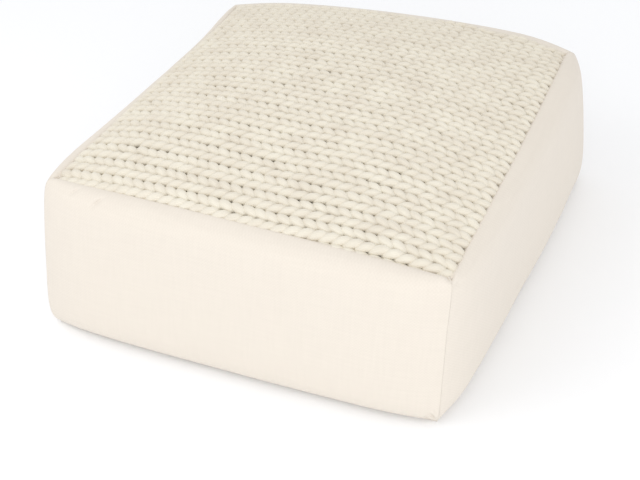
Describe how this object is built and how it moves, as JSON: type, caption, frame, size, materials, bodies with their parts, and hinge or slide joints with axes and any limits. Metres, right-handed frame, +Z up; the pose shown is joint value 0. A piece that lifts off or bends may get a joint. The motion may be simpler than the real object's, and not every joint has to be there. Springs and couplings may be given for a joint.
{
  "type": "pouf",
  "caption": "Square floor pouf: a chunky knitted top sewn into a firm boxed canvas cover that stands flat on the floor.",
  "frame": {"origin": "on the floor under the middle of the pouf", "axes": "+Z up; the front panel faces -Y and the right panel faces +X; the wales of the knitted top run along X"},
  "size_m": [0.585, 0.6119, 0.2597],
  "materials": {
    "knit_yarn": "matte chunky yarn in cream",
    "canvas": "matte plain-woven cotton canvas in cream"
  },
  "bodies": {
    "root": {"knit_top": "knit_yarn", "front_panel": "canvas", "right_panel": "canvas", "back_panel": "canvas", "left_panel": "canvas", "base_panel": "canvas"}
  },
  "joints": []
}
